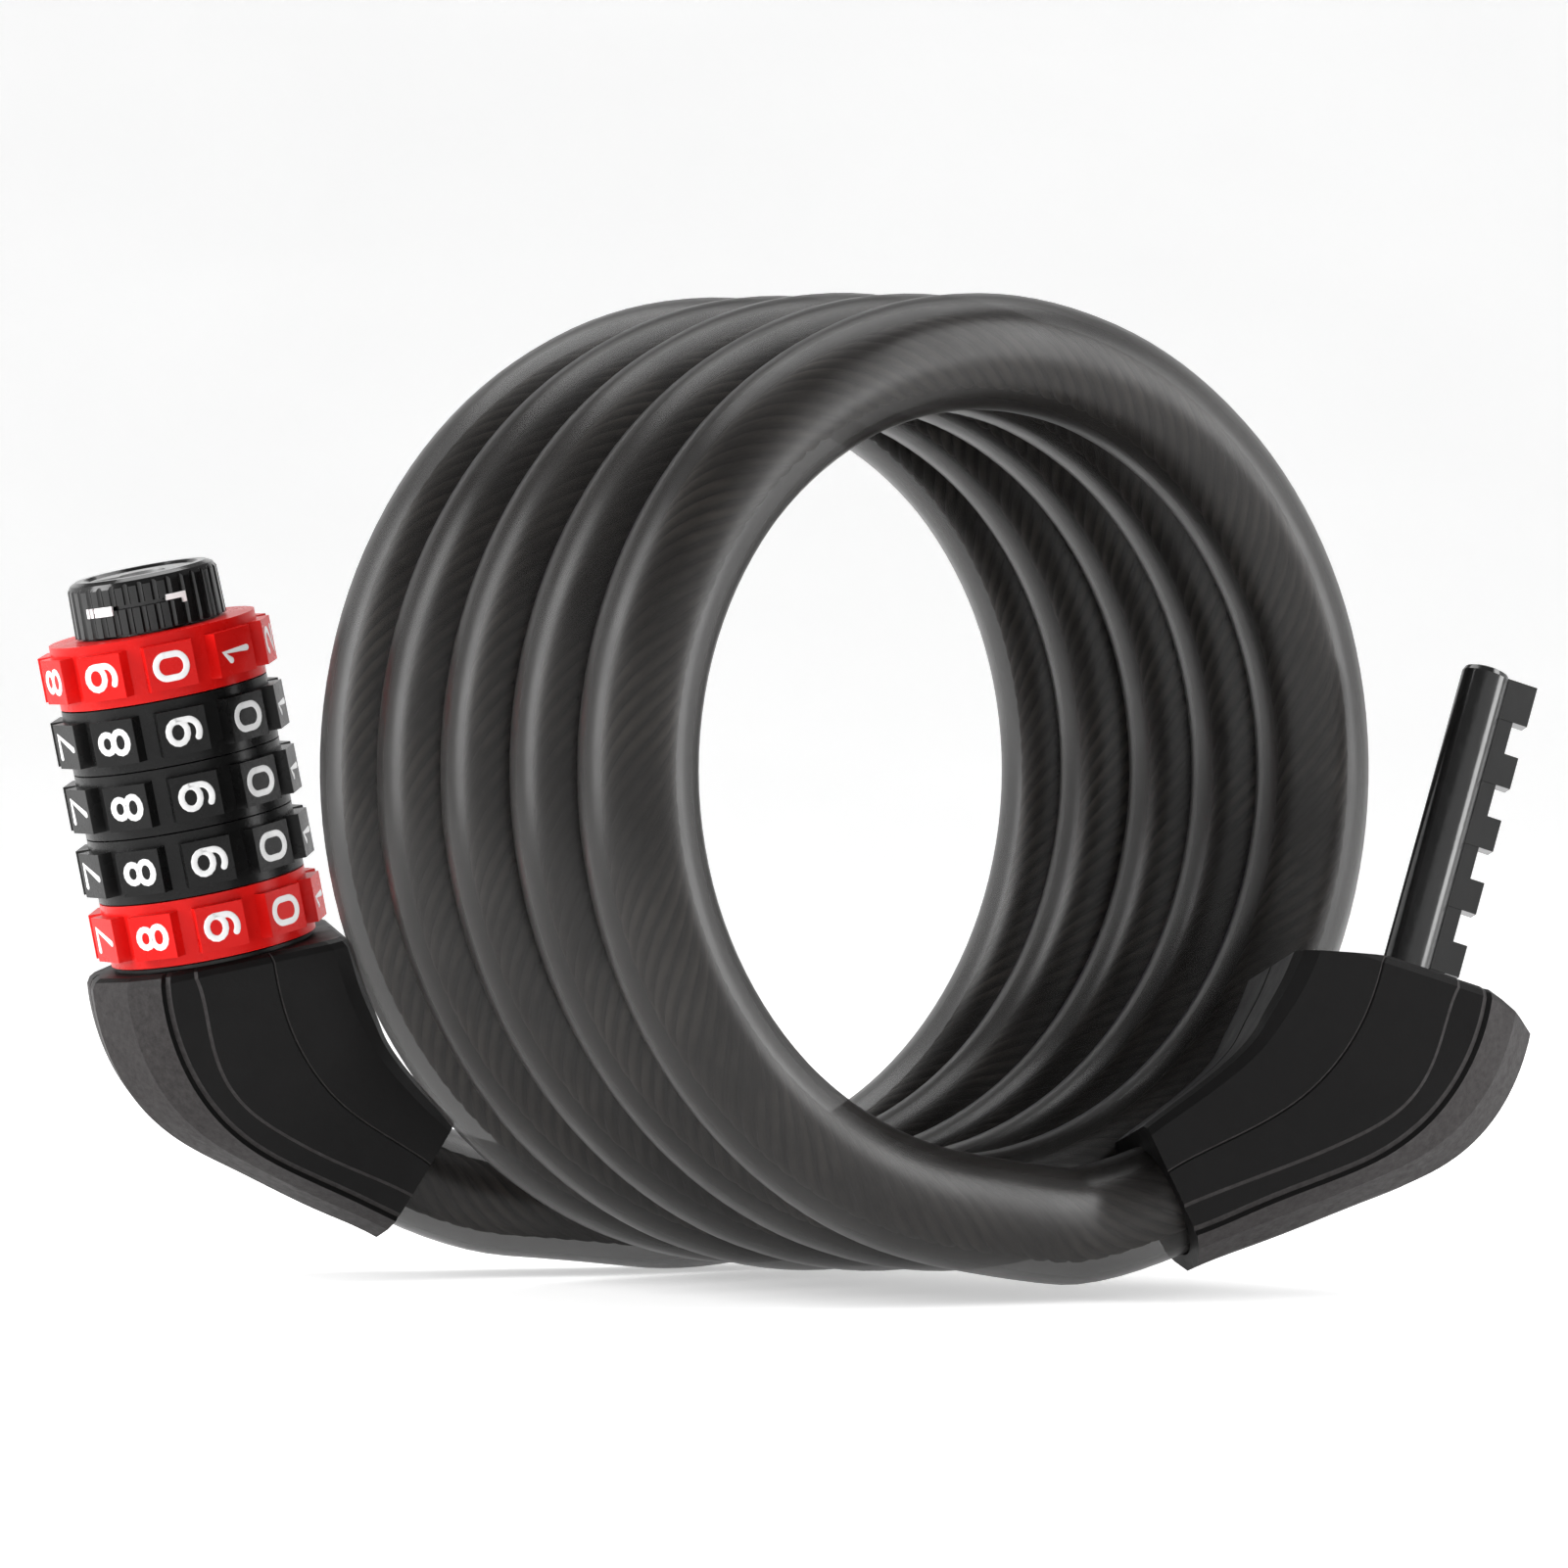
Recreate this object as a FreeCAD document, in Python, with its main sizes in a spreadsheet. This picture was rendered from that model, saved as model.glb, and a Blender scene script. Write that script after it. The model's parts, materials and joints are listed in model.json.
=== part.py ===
# Resettable cable lock: a five-dial head and a toothed bolt on the two ends of a self-coiling cable.
#
# Frame, millimetres: +Z up, +Y along the coil's axis, origin at the middle of the box round the two heads.
# Each head is modelled upright in its own frame and then placed:
#   dial head: z along the dials' axis towards the knob, z = 0 at the middle dial, +x towards the cable
#   bolt head: z along the bolt towards its tip, z = 0 at the top of the housing, +x towards the cable
import FreeCAD, Part
import math
import os
import Sketcher
from FreeCAD import Placement, Rotation, Vector

os.makedirs("parts", exist_ok=True)
doc = FreeCAD.newDocument("cable_lock")

# ---------------------------------------------------------------- driving dimensions
DIMENSIONS = {
    # dials
    "dial_pitch": 7.0,
    "dial_width": 6.85,
    "rim_width": 1.05,
    "rim_radius": 11.1,
    "pad_radius": 12.5,
    "pad_flat": 12.25,
    "dial_bore": 7.35,
    "groove_floor": 1.5,
    "groove_mouth": 3.1,
    "groove_run_out": 0.4,
    "flat_width": 6.0,
    # tumblers
    "tumbler_width": 6.7,
    "tumbler_radius": 7.25,
    "tumbler_bore": 4.05,
    "pocket_radius": 6.1,
    "pocket_width": 4.6,
    "gate_width": 2.7,
    # core
    "core_radius": 4.0,
    "core_bore": 2.65,
    "core_slot": 2.4,
    "core_bottom": 30.5,
    "core_top": 23.3,
    "head_radius": 5.6,
    "head_bottom": 17.9,
    "collar_height": 1.5,
    "core_floor": 4.0,
    "slot_floor": 11.0,
    "core_play": 0.05,
    "leaf_thick": 0.35,
    "leaf_width": 2.0,
    "leaf_inset": 0.55,
    "leaf_bottom": 18.4,
    "leaf_length": 35.1,
    "leaf_play": 0.1,
    # clip, washer, anchor and spring on the core
    "clip_drop": 4.2,
    "clip_thick": 0.6,
    "clip_depth": 0.7,
    "clip_proud": 0.6,
    "clip_opening": 3.0,
    "clip_play": 0.05,
    "washer_radius": 10.8,
    "washer_thick": 0.35,
    "washer_play": 0.2,
    "anchor_radius": 8.6,
    "anchor_height": 3.7,
    "anchor_drop": 6.2,
    "spring_wire": 0.35,
    "spring_radius": 4.85,
    "spring_turns": 3,
    "spring_play": 0.05,
    # knob
    "knob_bottom": 17.7,
    "knob_top": 23.6,
    "knob_radius": 8.15,
    "knob_bore": 5.7,
    "knob_flutes": 33,
    "knob_flute_radius": 0.42,
    "knob_flute_out": 0.12,
    "knob_round": 1.1,
    "knob_chamfer": 0.5,
    "knob_groove": 0.9,
    "knob_groove_drop": 2.2,
    "window_height": 0.45,
    "window_bottom": 20.4,
    "window_depth": 0.9,
    "window_sweep": 78.0,
    "window_start": -144.0,
    # bolt
    "bolt_radius": 2.55,
    "bolt_length": 35.2,
    "bolt_root": 13.0,
    "bolt_tip_round": 0.7,
    "bolt_play": 0.03,
    "fin_reach": 3.95,
    "fin_thick": 1.8,
    "fin_base": 0.02,
    "fin_stop": 1.2,
    "tooth_reach": 5.5,
    "tooth_thick": 2.0,
    "tooth_length": 3.5,
    "tooth_first": 2.4,
    "tip_tooth_length": 4.4,
    "root_block_radius": 7.0,
    "root_block_height": 7.5,
    # elbow housings
    "elbow_top": 18.0,
    "elbow_bend": 48.0,
    "elbow_radius": 26.0,
    "elbow_wall": 1.8,
    "dial_elbow_drop": 13.6,
    "dial_elbow_leg": 21.6,
    "bolt_elbow_drop": 13.2,
    "bolt_elbow_leg": 24.6,
    # cable
    "cable_diameter": 12.0,
    "cable_clearance": 0.05,
    "ferrule_radius": 4.6,
    "ferrule_length": 8.0,
    "cable_entry": 6.0,
    "pin_radius": 1.25,
    "pin_length": 15.6,
    "pin_play": 0.02,
    "coil_radius": 45.3,
    "coil_front": 3.2,
    "coil_back": 54.0,
    "coil_x": 2.0,
    "coil_z": 0.5,
    "dial_lead": 11.0,
    "bolt_lead": 13.0,
    # placing
    "shift_x": 3.06,
    "shift_y": -30.82,
    "shift_z": 12.97,
}

sheet = doc.addObject("Spreadsheet::Sheet", "dims")
for row, (alias, value) in enumerate(DIMENSIONS.items(), start=1):
    sheet.set(f"A{row}", alias)
    sheet.set(f"B{row}", str(value))
    sheet.setAlias(f"B{row}", alias)
doc.recompute()


def dim(alias):
    """A driving dimension as a number, for what can't hold an expression."""
    return float(sheet.get(alias))


# ---------------------------------------------------------------- helpers
# A tool that cuts right through a piece runs 0.5 or 1 mm past its faces.
SUB_PARTS = []


def bind(thing, **sizes):
    """Bind an object's properties to expressions over the sheet, written with bare aliases."""
    for prop, text in sizes.items():
        thing.setExpression(prop, qualified(text))


def qualified(text):
    """Put the sheet's name before each alias in an expression."""
    words = []
    for word in text.replace("(", " ( ").replace(")", " ) ").split():
        words.append("dims." + word if word in DIMENSIONS else word)
    return " ".join(words)


def value_of(text):
    """The number that an expression over the sheet gives, to draw a sketch near its final size."""
    stack = text.replace("(", " ( ").replace(")", " ) ").split()
    terms = [str(dim(word)) if word in DIMENSIONS else word for word in stack]
    return float(FreeCAD.Units.Quantity(" ".join(terms)).Value)


def cylinder(name, radius, height, bottom="0", centre=(0, 0)):
    """A cylinder along z in the head's frame."""
    solid = doc.addObject("Part::Cylinder", name)
    solid.Placement.Base = Vector(centre[0], centre[1], 0)
    bind(solid, Radius=radius, Height=height)
    solid.setExpression("Placement.Base.z", qualified(bottom))
    return solid


def block(name, size_x, size_y, size_z, low_x, low_y, low_z):
    """A box from its low corner in the head's frame."""
    solid = doc.addObject("Part::Box", name)
    bind(solid, Length=size_x, Width=size_y, Height=size_z)
    for axis, text in zip("xyz", (low_x, low_y, low_z)):
        solid.setExpression(f"Placement.Base.{axis}", qualified(text))
    return solid


def fused(name, *solids):
    joined = doc.addObject("Part::MultiFuse", name)
    joined.Shapes = list(solids)
    return joined


def cut(name, base, *tools):
    """The base less its tools."""
    tool = tools[0] if len(tools) == 1 else fused(name + "_tools", *tools)
    result = doc.addObject("Part::Cut", name)
    result.Base = base
    result.Tool = tool
    return result


def sub_part(thing, label, placement):
    """Name a finished piece and put it in its place."""
    thing.Label = label
    thing.Placement = placement
    SUB_PARTS.append(thing)
    return thing


def shaped(label, shape, placement=None):
    """A piece whose lofted or swept shape is made directly."""
    feature = doc.addObject("Part::Feature", label)
    feature.Shape = shape
    return sub_part(feature, label, placement or Placement())


def origin_plane(body, role):
    return next(item for item in body.Origin.OriginFeatures if item.Role == role)


def polygon_sketch(body, name, role, corners):
    """A closed sketch whose corners are bound to expressions over the sheet."""
    sketch = body.newObject("Sketcher::SketchObject", name)
    sketch.AttachmentSupport = [(origin_plane(body, role), "")]
    sketch.MapMode = "FlatFace"
    points = [Vector(value_of(across), value_of(up), 0) for across, up in corners]
    for start, end in zip(points, points[1:] + points[:1]):
        sketch.addGeometry(Part.LineSegment(start, end), False)
    count = len(points)
    for line in range(count):
        sketch.addConstraint(Sketcher.Constraint("Coincident", line, 2, (line + 1) % count, 1))
    for line, (across, up) in enumerate(corners):
        for kind, text, value in (("DistanceX", across, points[line].x), ("DistanceY", up, points[line].y)):
            index = sketch.addConstraint(Sketcher.Constraint(kind, -1, 1, line, 1, value))
            sketch.setExpression(f"Constraints[{index}]", qualified(text))
    return sketch


def revolve(body, name, sketch):
    feature = body.newObject("PartDesign::Revolution", name)
    feature.Profile = sketch
    feature.ReferenceAxis = (sketch, ["V_Axis"])
    feature.Angle = 360
    return feature


def pad(body, name, sketch, thickness):
    feature = body.newObject("PartDesign::Pad", name)
    feature.Profile = sketch
    feature.Midplane = True
    bind(feature, Length=thickness)
    body.Tip = feature
    doc.recompute()
    return feature


def repeat_round(body, name, feature, count):
    pattern = body.newObject("PartDesign::PolarPattern", name)
    pattern.Originals = [feature]
    pattern.Axis = (origin_plane(body, "Z_Axis"), [""])
    pattern.Angle = 360
    bind(pattern, Occurrences=count)
    body.Tip = pattern
    return pattern


def tube(points, radius):
    """A round cable along straight runs joined by tangent arcs, and its printed arc radii."""
    runs = [(b - a).Length for a, b in zip(points, points[1:])]
    edges, here = [], points[0]
    for index in range(1, len(points) - 1):
        into = (points[index] - points[index - 1]).normalize()
        out = (points[index + 1] - points[index]).normalize()
        turn = into.getAngle(out)
        reach = 0.45 * min(runs[index - 1], runs[index])
        start = points[index] - into * reach
        end = points[index] + out * reach
        arc_radius = reach / math.tan(turn / 2)
        middle = points[index] + (out - into).normalize() * (arc_radius / math.cos(turn / 2) - arc_radius)
        edges.append(Part.makeLine(here, start))
        edges.append(Part.Arc(start, middle, end).toShape())
        here = end
        print(f"cable arc radius {arc_radius:.1f}")
    edges.append(Part.makeLine(here, points[-1]))
    path = Part.Wire(edges)
    start_tangent = (points[1] - points[0]).normalize()
    profile = Part.Wire(Part.makeCircle(radius, points[0], start_tangent))
    solid = path.makePipeShell([profile], True, False)
    expected = math.pi * radius ** 2 * path.Length
    print(f"cable length {path.Length:.1f}, volume {solid.Volume / expected:.4f} of section times length")
    return solid


# ---------------------------------------------------------------- placing the two heads
# The heads and the cable are laid out about the coil's front, then shifted to the part's own origin.
SHIFT = Vector(dim("shift_x"), dim("shift_y"), dim("shift_z"))

# yaw turns the cable side about z, pitch leans the head away from its cable, roll leans it along y
DIAL_HEAD = Placement(Vector(-51.44, 75.09, -0.31) + SHIFT, Rotation(-25.0, -11.5, 5.0))
BOLT_HEAD = Placement(Vector(43.6, -13.2, -20.9) + SHIFT, Rotation(152.0, -18.0, 11.0))


def on_dial_head(height=0.0, turn=0.0):
    return DIAL_HEAD.multiply(Placement(Vector(0, 0, height), Rotation(turn, 0, 0)))


# ---------------------------------------------------------------- dials and tumblers
# Ten number pads of 36 degrees; the grooves between them start at this angle from the cable side.
PAD_STEP = 36.0
GROOVE_PHASE = 1.0


def dial(index):
    body = doc.addObject("PartDesign::Body", f"dial_{index}")
    half = "dial_width / 2"
    shoulder = "dial_width / 2 - rim_width"
    profile = polygon_sketch(body, f"dial_profile_{index}", "XZ_Plane", [
        ("dial_bore", "0 - dial_width / 2"),
        ("rim_radius", "0 - dial_width / 2"),
        ("rim_radius", "rim_width - dial_width / 2"),
        ("pad_radius", "rim_width - dial_width / 2"),
        ("pad_radius", shoulder),
        ("rim_radius", shoulder),
        ("rim_radius", half),
        ("dial_bore", half),
    ])
    revolve(body, f"dial_ring_{index}", profile)
    doc.recompute()
    groove_sketch = polygon_sketch(body, f"dial_groove_sketch_{index}", "XY_Plane", [
        ("rim_radius", "0 - groove_floor / 2"),
        ("pad_radius + groove_run_out", "0 - groove_mouth / 2"),
        ("pad_radius + groove_run_out", "groove_mouth / 2"),
        ("rim_radius", "groove_floor / 2"),
    ])
    groove = body.newObject("PartDesign::Pocket", f"dial_groove_{index}")
    groove.Profile = groove_sketch
    groove.Midplane = True
    groove.Type = "Length"
    bind(groove, Length="dial_width + 1")
    doc.recompute()
    repeat_round(body, f"dial_grooves_{index}", groove, "10")
    flat_sketch = polygon_sketch(body, f"dial_flat_sketch_{index}", "XY_Plane", [
        ("pad_flat", "0 - flat_width / 2"),
        ("pad_radius + 1", "0 - flat_width / 2"),
        ("pad_radius + 1", "flat_width / 2"),
        ("pad_flat", "flat_width / 2"),
    ])
    flat_sketch.AttachmentOffset = Placement(Vector(), Rotation(PAD_STEP / 2, 0, 0))
    flat = body.newObject("PartDesign::Pocket", f"dial_flat_{index}")
    flat.Profile = flat_sketch
    flat.Midplane = True
    flat.Type = "Length"
    bind(flat, Length="dial_width + 1")
    doc.recompute()
    repeat_round(body, f"dial_flats_{index}", flat, "10")
    height = dim("dial_pitch") * (3 - index)
    return sub_part(body, f"dial_{index}", on_dial_head(height, GROOVE_PHASE))


def tumbler(index):
    """A code ring: the tooth turns in the pocket, and the gate in the web lets it out."""
    ring = cylinder(f"tumbler_ring_{index}", "tumbler_radius", "tumbler_width", "0 - tumbler_width / 2")
    bore = cylinder(f"tumbler_bore_{index}", "tumbler_bore", "tumbler_width + 1",
                    "0 - tumbler_width / 2 - 0.5")
    pocket = cylinder(f"tumbler_pocket_{index}", "pocket_radius", "pocket_width + 1",
                      "tumbler_width / 2 - pocket_width")
    gate = block(f"tumbler_gate_{index}", "pocket_radius", "gate_width", "tumbler_width + 1",
                 "0 - pocket_radius", "0 - gate_width / 2", "0 - tumbler_width / 2 - 0.5")
    ring_cut = cut(f"tumbler_{index}", ring, bore, pocket, gate)
    height = dim("dial_pitch") * (3 - index)
    return sub_part(ring_cut, f"tumbler_{index}", on_dial_head(height))


for number in range(1, 6):
    dial(number)
    tumbler(number)


# ---------------------------------------------------------------- core, knob and what holds them
def core_barrel():
    """The slotted tube the bolt slides into; its head fills the knob and its collar takes the spring."""
    stem = cylinder("core_stem", "core_radius", "core_bottom + core_top", "0 - core_bottom")
    head = cylinder("core_head", "head_radius", "core_top - head_bottom", "head_bottom")
    collar = cylinder("core_collar", "head_radius", "collar_height", "0 - core_bottom")
    bore = cylinder("core_hole", "core_bore", "core_top + core_bottom - core_floor + 1",
                    "core_floor - core_bottom")
    slot = block("core_slot_tool", "head_radius + 1", "core_slot", "core_top + core_bottom - slot_floor + 1",
                 "0 - head_radius - 1", "0 - core_slot / 2", "slot_floor - core_bottom")
    leaf_seat = block("core_leaf_seat", "1", "leaf_width + 2 * leaf_play", "leaf_length + 2 * leaf_play",
                      "core_radius - leaf_inset - leaf_play / 2", "0 - leaf_width / 2 - leaf_play",
                      "0 - leaf_bottom - leaf_play")
    clip_outer = cylinder("core_clip_outer", "head_radius + 1", "clip_thick + 2 * clip_play",
                          "core_top - clip_drop")
    clip_inner = cylinder("core_clip_inner", "head_radius - clip_depth", "clip_thick + 2 * clip_play",
                          "core_top - clip_drop")
    clip_seat = cut("core_clip_seat", clip_outer, clip_inner)
    solid = cut("core_barrel", fused("core_blank", stem, head, collar), bore, slot, leaf_seat, clip_seat)
    return sub_part(solid, "core_barrel", DIAL_HEAD)


def detent_leaf():
    """The flat spring that lies in the core's seat, inside the tumblers' bores."""
    body = doc.addObject("PartDesign::Body", "detent_leaf")
    outline = polygon_sketch(body, "leaf_sketch", "XZ_Plane", [
        ("core_radius - leaf_inset", "0 - leaf_bottom"),
        ("core_radius - leaf_inset + leaf_thick", "0 - leaf_bottom"),
        ("core_radius - leaf_inset + leaf_thick", "leaf_length - leaf_bottom"),
        ("core_radius - leaf_inset", "leaf_length - leaf_bottom"),
    ])
    pad(body, "leaf_strip", outline, "leaf_width")
    return sub_part(body, "detent_leaf", DIAL_HEAD)


def knob_clip():
    """The open ring in the core's groove that keeps the knob on."""
    outer = cylinder("clip_outer", "head_radius + clip_proud", "clip_thick",
                     "core_top - clip_drop + clip_play")
    inner = cylinder("clip_inner", "head_radius - clip_depth + clip_play", "clip_thick + 1",
                     "core_top - clip_drop - 0.5")
    gap = block("clip_gap", "head_radius + 2", "clip_opening", "clip_thick + 1", "0 - head_radius - 2",
                "0 - clip_opening / 2", "core_top - clip_drop - 0.5")
    return sub_part(cut("knob_clip", outer, inner, gap), "knob_clip", DIAL_HEAD)


def reset_knob():
    """A fluted knob with the clip's groove inside and the mark window on its side."""
    body = doc.addObject("PartDesign::Body", "knob_body")
    profile = polygon_sketch(body, "knob_profile", "XZ_Plane", [
        ("knob_bore", "knob_bottom"),
        ("knob_radius", "knob_bottom"),
        ("knob_radius - 0.1 * knob_round", "knob_top - 0.8 * knob_round"),
        ("knob_radius - 0.4 * knob_round", "knob_top - 0.3 * knob_round"),
        ("knob_radius - knob_round", "knob_top"),
        ("knob_bore + knob_chamfer", "knob_top"),
        ("knob_bore", "knob_top - knob_chamfer"),
        ("knob_bore", "core_top - knob_groove_drop"),
        ("knob_bore + knob_groove", "core_top - knob_groove_drop"),
        ("knob_bore + knob_groove", "core_top - clip_drop - 0.1"),
        ("knob_bore", "core_top - clip_drop - 0.1"),
    ])
    revolve(body, "knob_ring", profile)
    doc.recompute()
    flute_sketch = body.newObject("Sketcher::SketchObject", "knob_flute_sketch")
    flute_sketch.AttachmentSupport = [(origin_plane(body, "XY_Plane"), "")]
    flute_sketch.MapMode = "FlatFace"
    centre = Vector(dim("knob_radius") + dim("knob_flute_out"), 0, 0)
    flute_sketch.addGeometry(Part.Circle(centre, Vector(0, 0, 1), dim("knob_flute_radius")), False)
    across = flute_sketch.addConstraint(Sketcher.Constraint("DistanceX", -1, 1, 0, 3, centre.x))
    flute_sketch.addConstraint(Sketcher.Constraint("PointOnObject", 0, 3, -1))
    size = flute_sketch.addConstraint(Sketcher.Constraint("Radius", 0, dim("knob_flute_radius")))
    flute_sketch.setExpression(f"Constraints[{across}]", qualified("knob_radius + knob_flute_out"))
    flute_sketch.setExpression(f"Constraints[{size}]", qualified("knob_flute_radius"))
    flute = body.newObject("PartDesign::Pocket", "knob_flute")
    flute.Profile = flute_sketch
    flute.Type = "Length"
    flute.Reversed = True
    bind(flute, Length="knob_top + 1")
    doc.recompute()
    repeat_round(body, "knob_fluting", flute, "knob_flutes")
    window_outer = cylinder("window_outer", "knob_radius + 1", "window_height", "window_bottom")
    window_inner = cylinder("window_inner", "knob_radius - window_depth", "window_height + 1",
                            "window_bottom - 0.5")
    window_outer.Angle = dim("window_sweep")
    window_outer.Placement.Rotation = Rotation(dim("window_start"), 0, 0)
    window = cut("knob_window", window_outer, window_inner)
    return sub_part(cut("reset_knob", body, window), "reset_knob", DIAL_HEAD)


def end_washer():
    outer = cylinder("washer_outer", "washer_radius", "washer_thick", "0 - elbow_top + core_play")
    inner = cylinder("washer_inner", "core_radius + washer_play", "washer_thick + 1", "0 - elbow_top - 0.5")
    return sub_part(cut("end_washer", outer, inner), "end_washer", DIAL_HEAD)


def barrel_anchor():
    """The block inside the elbow that guides the core."""
    outer = cylinder("anchor_outer", "anchor_radius", "anchor_height", "0 - elbow_top - anchor_drop")
    inner = cylinder("anchor_bore", "core_radius + core_play", "anchor_height + 1",
                     "0 - elbow_top - anchor_drop - 0.5")
    return sub_part(cut("barrel_anchor", outer, inner), "barrel_anchor", DIAL_HEAD)


def reset_spring():
    """A compression spring between the core's collar and the barrel anchor."""
    wire = dim("spring_wire")
    mean = dim("spring_radius")
    end_room = wire + dim("spring_play")
    bottom = end_room - dim("core_bottom") + dim("collar_height")
    top = -dim("elbow_top") - dim("anchor_drop") - end_room
    helix = Part.makeLongHelix((top - bottom) / dim("spring_turns"), top - bottom, mean)
    profile = Part.Wire(Part.makeCircle(wire, Vector(mean, 0, 0), Vector(0, 1, 0)))
    spring = Part.Wire(helix.Edges).makePipeShell([profile], True, True)
    print(f"spring volume {spring.Volume / (math.pi * wire ** 2 * helix.Length):.4f} of section times length")
    return shaped("reset_spring", spring, on_dial_head(bottom))


core_barrel()
detent_leaf()
knob_clip()
reset_knob()
end_washer()
barrel_anchor()
reset_spring()


# ---------------------------------------------------------------- elbow housings
# Each row is one section along the elbow: how far round the bend (0 to 1) or down the leg (1 to 2), its reach
# from the centre line to the spine, to the inner side, its half depth, and where the bevel, the panel's edge
# and the fine groove lie, measured from the centre line towards the spine.
SECTIONS = [
    (0.00, 13.8, 13.6, 11.4, 6.7, 3.6, -4.9),
    (0.25, 13.8, 13.7, 11.3, 7.1, 3.9, -4.6),
    (0.50, 12.3, 13.3, 10.9, 6.9, 4.4, -4.1),
    (0.75, 9.7, 12.4, 10.3, 6.0, 3.4, -3.5),
    (1.00, 8.5, 10.9, 9.4, 5.0, 2.6, -2.9),
    (1.50, 8.0, 9.0, 8.4, 4.6, 2.1, -2.6),
    (2.00, 7.6, 7.6, 7.6, 4.3, 1.7, -2.3),
]
PANEL_STEP = 0.35
FINE_GROOVE = 0.16
BEVEL_VALLEY = 0.5
PARTING_BEVEL = 0.35
# The bolt housing's top slopes down on each side: where each slope starts and ends, and how far it drops
TOP_SLOPES = [(4.3, 13.6, 2.4), (-6.9, -13.8, 1.5)]
WEDGE_DEPTH = 20.0
# How far below the top the hollow starts
ROOF = 2.4
# The rounded top edge: depth below the top, and how far the section is drawn in there
CROWN = [(0.0, 0.93), (0.35, 0.972), (1.0, 1.0)]


class Elbow:
    """The centre line of a housing: straight down, round the bend, then down the leg to the cable."""

    def __init__(self, top, drop, leg):
        bend = math.radians(dim("elbow_bend"))
        self.radius = dim("elbow_radius")
        self.bend = bend
        tangent = self.radius * math.tan(bend / 2)
        self.top = top
        self.bend_start = top - drop + tangent
        self.leg_length = leg - tangent
        self.direction = Vector(math.sin(bend), 0, -math.cos(bend))

    def at(self, station):
        """The point and the direction towards the spine at a station."""
        angle = self.bend * min(station, 1.0)
        centre_x = self.radius * (1 - math.cos(angle))
        centre_z = self.bend_start - self.radius * math.sin(angle)
        point = Vector(centre_x, 0, centre_z) + self.direction * (self.leg_length * max(station - 1.0, 0.0))
        return point, Vector(-math.cos(angle), 0, -math.sin(angle))

    def mouth(self, inside=0.0):
        """A point on the leg's axis, this far inside the mouth."""
        return self.at(2.0)[0] - self.direction * inside


def outer_section(row, side, squeeze=1.0):
    """Half a section, from the spine round the face to the inner side, as offsets (towards spine, depth)."""
    _, spine, inner, depth, bevel, panel, groove = row
    spine, inner, depth = spine * squeeze, inner * squeeze, depth * squeeze
    bevel, panel, groove = bevel * squeeze, panel * squeeze, groove * squeeze
    face = depth - PANEL_STEP
    outline = [
        (spine - PARTING_BEVEL, 0.0),
        (spine, PARTING_BEVEL),
        (spine, 0.30 * depth),
        (spine - 0.45 * (spine - bevel), 0.72 * depth),
        (bevel + BEVEL_VALLEY, face - 0.25 * BEVEL_VALLEY),
        (bevel, face - 0.8 * BEVEL_VALLEY),
        (bevel - BEVEL_VALLEY, face),
        (panel, face),
        (panel - PANEL_STEP, depth),
        (groove + FINE_GROOVE, depth),
        (groove, depth - FINE_GROOVE),
        (groove - FINE_GROOVE, depth),
        (-inner + 0.16 * inner, depth),
        (-inner + 0.05 * inner, 0.95 * depth),
        (-inner, 0.84 * depth),
        (-inner, PARTING_BEVEL),
        (-inner + PARTING_BEVEL, 0.0),
    ]
    return [(reach, side * out) for reach, out in outline]


def inner_section(row, side, wall):
    """Half the hollow's section."""
    _, spine, inner, depth, bevel, _, _ = row
    outline = [
        (spine - wall, 0.0),
        (spine - wall, 0.28 * depth),
        (bevel - 0.4 * wall, depth - wall - PANEL_STEP),
        (-inner + wall + 0.12 * inner, depth - wall - PANEL_STEP),
        (-inner + wall, 0.72 * depth),
        (-inner + wall, 0.0),
    ]
    return [(reach, side * out) for reach, out in outline]


def section_wire(point, spine_way, offsets):
    corners = [point + spine_way * reach + Vector(0, out, 0) for reach, out in offsets]
    return Part.makePolygon(corners + corners[:1])


def half_shell(elbow, side):
    """One half of an elbow housing, hollow, cut at the head's middle plane, with a rounded top edge."""
    wall = dim("elbow_wall")
    top_row = SECTIONS[0]
    bend_point, spine_way = elbow.at(0.0)
    top_point = Vector(bend_point.x, bend_point.y, elbow.top)

    def top_section(below, offsets):
        return section_wire(top_point - Vector(0, 0, below), spine_way, offsets)

    crown = [top_section(below, outer_section(top_row, side, squeeze)) for below, squeeze in CROWN]
    outer = [crown[-1]]
    hollow = [top_section(ROOF, inner_section(top_row, side, wall))]
    for row in SECTIONS[1:]:
        point, way = elbow.at(row[0])
        outer.append(section_wire(point, way, outer_section(row, side)))
        if row is not SECTIONS[-1]:
            hollow.append(section_wire(point, way, inner_section(row, side, wall)))
    shell = Part.makeLoft(outer, True, False).fuse(Part.makeLoft(crown, True, True))
    return shell.cut(Part.makeLoft(hollow, True, False))


def cable_hole(elbow):
    """The cable's socket, 1 mm deeper than the cable goes and open past the mouth."""
    radius = dim("cable_diameter") / 2 + dim("cable_clearance")
    depth = dim("cable_entry") + 1
    return Part.makeCylinder(radius, depth + 5, elbow.mouth(depth), elbow.direction)


def pin_hole(elbow, radius, length):
    """The cross pin's place through the ferrule, along the head's y."""
    middle = elbow.mouth(dim("cable_entry") + dim("ferrule_length") / 2)
    return Part.makeCylinder(radius, length, middle - Vector(0, length / 2, 0), Vector(0, 1, 0))


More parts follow.
